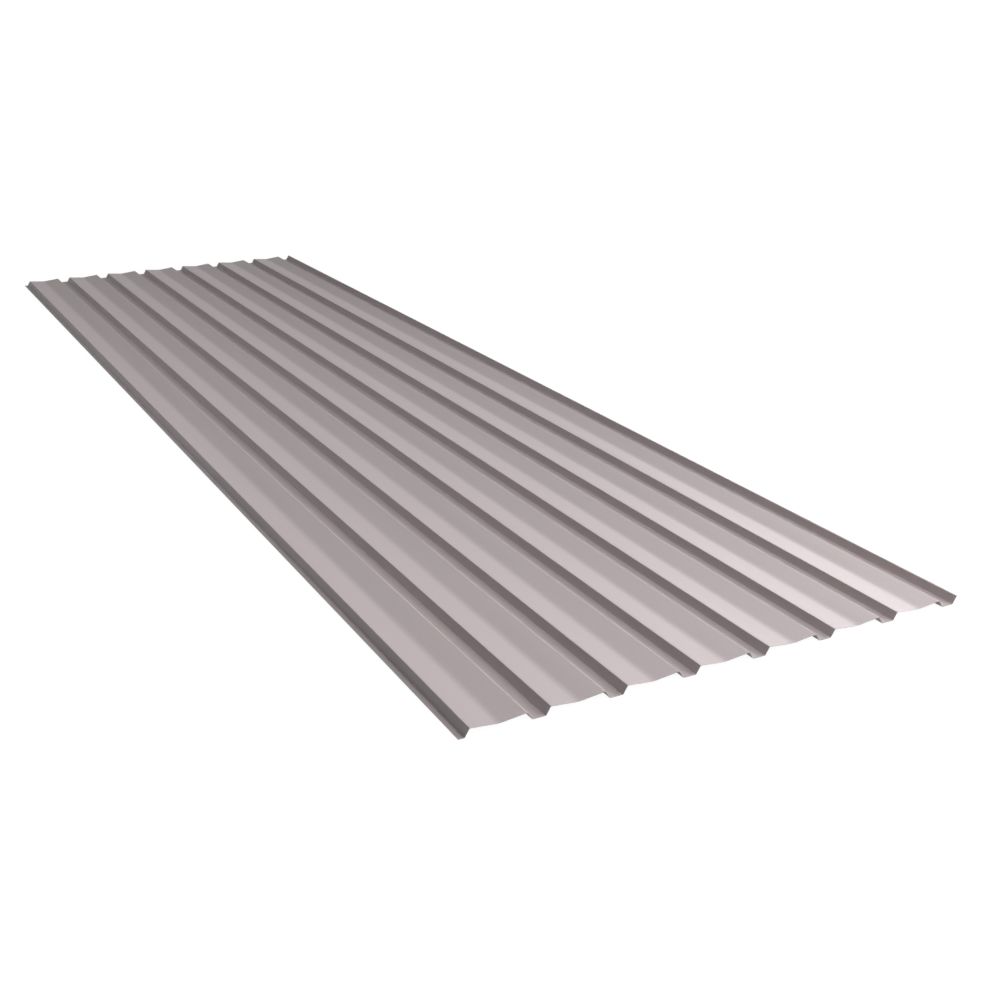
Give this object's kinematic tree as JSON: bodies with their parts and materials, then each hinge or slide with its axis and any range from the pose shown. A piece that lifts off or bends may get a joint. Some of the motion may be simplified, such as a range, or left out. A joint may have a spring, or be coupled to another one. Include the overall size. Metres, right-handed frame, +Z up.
{
  "type": "profiled metal cladding sheet",
  "caption": "Long coated steel sheet roll-formed with narrow grooves between wide, slightly dished crests, for cladding walls, fences and low roofs.",
  "frame": {"origin": "under the middle of the sheet, at the level of the undersides of the groove floors", "axes": "+Y along the grooves, +X across the sheet from its low lap flange to its high edge, +Z up, out of the face that shows"},
  "size_m": [1.0734, 3.8, 0.0156],
  "materials": {
    "coated_steel": "satin grey coil coating with a faint warm cast"
  },
  "bodies": {
    "root": {"profiled_sheet": "coated_steel"}
  },
  "joints": []
}
